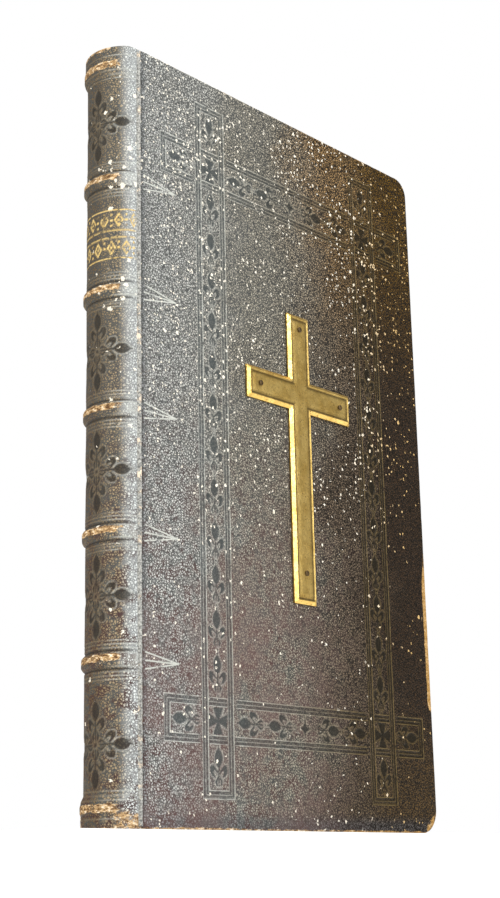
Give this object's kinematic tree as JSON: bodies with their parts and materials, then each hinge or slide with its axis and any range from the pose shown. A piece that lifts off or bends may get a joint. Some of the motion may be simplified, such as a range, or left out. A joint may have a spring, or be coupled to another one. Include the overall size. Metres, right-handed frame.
{
  "type": "prayer book",
  "caption": "Tall slim leather-bound devotional book with raised bands, blind-tooled boards and a brass cross; boards and leaves turn on the spine.",
  "frame": {"origin": "on the surface the book stands on, under the middle of its box", "axes": "+Z from tail to head, +X from spine to fore-edge, -Y out of the front board"},
  "size_m": [0.2068, 0.0332, 0.335],
  "materials": {
    "leather": "dark pebble-grained goatskin, worn at the bands and edges",
    "millboard": "dense rolled paper board",
    "endpaper": "toned plain paper",
    "paper": "aged rag paper with dulled gilt edges",
    "linen": "glued linen and paper lining",
    "hemp": "twisted hemp cord",
    "silk": "worked silk endband",
    "brass": "dulled brass, bright at the bevels"
  },
  "bodies": {
    "text_block": {"spine_leather": "leather", "spine_lining": "linen", "raised_band_cord_1": "hemp", "raised_band_cord_2": "hemp", "raised_band_cord_3": "hemp", "raised_band_cord_4": "hemp", "raised_band_cord_5": "hemp", "sewn_back": "paper", "head_endband": "silk", "tail_endband": "silk"},
    "front_board": {"front_cover_leather": "leather", "front_millboard": "millboard", "front_pastedown": "endpaper", "brass_cross": "brass", "cross_tack_top": "brass", "cross_tack_left": "brass", "cross_tack_right": "brass", "cross_tack_foot": "brass"},
    "back_board": {"back_cover_leather": "leather", "back_millboard": "millboard", "back_pastedown": "endpaper"},
    "front_flyleaf": {"front_flyleaf": "endpaper"},
    "back_flyleaf": {"back_flyleaf": "endpaper"},
    "front_leaves_1": {"front_leaves_1": "paper"},
    "front_leaves_2": {"front_leaves_2": "paper"},
    "front_leaves_3": {"front_leaves_3": "paper"},
    "front_leaves_4": {"front_leaves_4": "paper"},
    "front_leaves_5": {"front_leaves_5": "paper"},
    "front_leaves_6": {"front_leaves_6": "paper"},
    "back_leaves_1": {"back_leaves_1": "paper"},
    "back_leaves_2": {"back_leaves_2": "paper"},
    "back_leaves_3": {"back_leaves_3": "paper"},
    "back_leaves_4": {"back_leaves_4": "paper"},
    "back_leaves_5": {"back_leaves_5": "paper"},
    "back_leaves_6": {"back_leaves_6": "paper"}
  },
  "joints": [
    {"name": "front_board_hinge", "type": "hinge", "parent": "text_block", "child": "front_board", "pos_m": [-0.0911, -0.01345, 0.1675], "axis": [0, 0, -1], "range_deg": [0, 180]},
    {"name": "back_board_hinge", "type": "hinge", "parent": "text_block", "child": "back_board", "pos_m": [-0.0911, 0.01655, 0.1675], "axis": [0, 0, 1], "range_deg": [0, 180]},
    {"name": "front_flyleaf_turn", "type": "hinge", "parent": "text_block", "child": "front_flyleaf", "pos_m": [-0.0911, -0.01345, 0.1675], "axis": [0, 0, -1], "range_deg": [0, 168]},
    {"name": "front_leaves_1_turn", "type": "hinge", "parent": "text_block", "child": "front_leaves_1", "pos_m": [-0.0877, -0.00734, 0.1675], "axis": [0, 0, -1], "range_deg": [0, 39.2]},
    {"name": "front_leaves_2_turn", "type": "hinge", "parent": "text_block", "child": "front_leaves_2", "pos_m": [-0.0877, -0.00573, 0.1675], "axis": [0, 0, -1], "range_deg": [0, 32.7]},
    {"name": "front_leaves_3_turn", "type": "hinge", "parent": "text_block", "child": "front_leaves_3", "pos_m": [-0.0877, -0.00411, 0.1675], "axis": [0, 0, -1], "range_deg": [0, 26.2]},
    {"name": "front_leaves_4_turn", "type": "hinge", "parent": "text_block", "child": "front_leaves_4", "pos_m": [-0.0877, -0.00249, 0.1675], "axis": [0, 0, -1], "range_deg": [0, 19.7]},
    {"name": "front_leaves_5_turn", "type": "hinge", "parent": "text_block", "child": "front_leaves_5", "pos_m": [-0.0877, -0.00088, 0.1675], "axis": [0, 0, -1], "range_deg": [0, 13.2]},
    {"name": "front_leaves_6_turn", "type": "hinge", "parent": "text_block", "child": "front_leaves_6", "pos_m": [-0.0877, 0.00074, 0.1675], "axis": [0, 0, -1], "range_deg": [0, 6.7]},
    {"name": "back_flyleaf_turn", "type": "hinge", "parent": "text_block", "child": "back_flyleaf", "pos_m": [-0.0911, 0.01655, 0.1675], "axis": [0, 0, 1], "range_deg": [0, 168]},
    {"name": "back_leaves_1_turn", "type": "hinge", "parent": "text_block", "child": "back_leaves_1", "pos_m": [-0.0877, 0.01044, 0.1675], "axis": [0, 0, 1], "range_deg": [0, 39.2]},
    {"name": "back_leaves_2_turn", "type": "hinge", "parent": "text_block", "child": "back_leaves_2", "pos_m": [-0.0877, 0.00882, 0.1675], "axis": [0, 0, 1], "range_deg": [0, 32.7]},
    {"name": "back_leaves_3_turn", "type": "hinge", "parent": "text_block", "child": "back_leaves_3", "pos_m": [-0.0877, 0.00721, 0.1675], "axis": [0, 0, 1], "range_deg": [0, 26.2]},
    {"name": "back_leaves_4_turn", "type": "hinge", "parent": "text_block", "child": "back_leaves_4", "pos_m": [-0.0877, 0.00559, 0.1675], "axis": [0, 0, 1], "range_deg": [0, 19.7]},
    {"name": "back_leaves_5_turn", "type": "hinge", "parent": "text_block", "child": "back_leaves_5", "pos_m": [-0.0877, 0.00398, 0.1675], "axis": [0, 0, 1], "range_deg": [0, 13.2]},
    {"name": "back_leaves_6_turn", "type": "hinge", "parent": "text_block", "child": "back_leaves_6", "pos_m": [-0.0877, 0.00236, 0.1675], "axis": [0, 0, 1], "range_deg": [0, 6.7]}
  ],
  "couplings": [
    {"joint": "front_flyleaf_turn", "follows": "front_board_hinge", "ratio": 0.93},
    {"joint": "front_leaves_1_turn", "follows": "front_board_hinge", "ratio": 0.2167},
    {"joint": "front_leaves_2_turn", "follows": "front_board_hinge", "ratio": 0.1806},
    {"joint": "front_leaves_3_turn", "follows": "front_board_hinge", "ratio": 0.1444},
    {"joint": "front_leaves_4_turn", "follows": "front_board_hinge", "ratio": 0.1083},
    {"joint": "front_leaves_5_turn", "follows": "front_board_hinge", "ratio": 0.0722},
    {"joint": "front_leaves_6_turn", "follows": "front_board_hinge", "ratio": 0.0361},
    {"joint": "back_flyleaf_turn", "follows": "back_board_hinge", "ratio": 0.93},
    {"joint": "back_leaves_1_turn", "follows": "back_board_hinge", "ratio": 0.2167},
    {"joint": "back_leaves_2_turn", "follows": "back_board_hinge", "ratio": 0.1806},
    {"joint": "back_leaves_3_turn", "follows": "back_board_hinge", "ratio": 0.1444},
    {"joint": "back_leaves_4_turn", "follows": "back_board_hinge", "ratio": 0.1083},
    {"joint": "back_leaves_5_turn", "follows": "back_board_hinge", "ratio": 0.0722},
    {"joint": "back_leaves_6_turn", "follows": "back_board_hinge", "ratio": 0.0361}
  ]
}
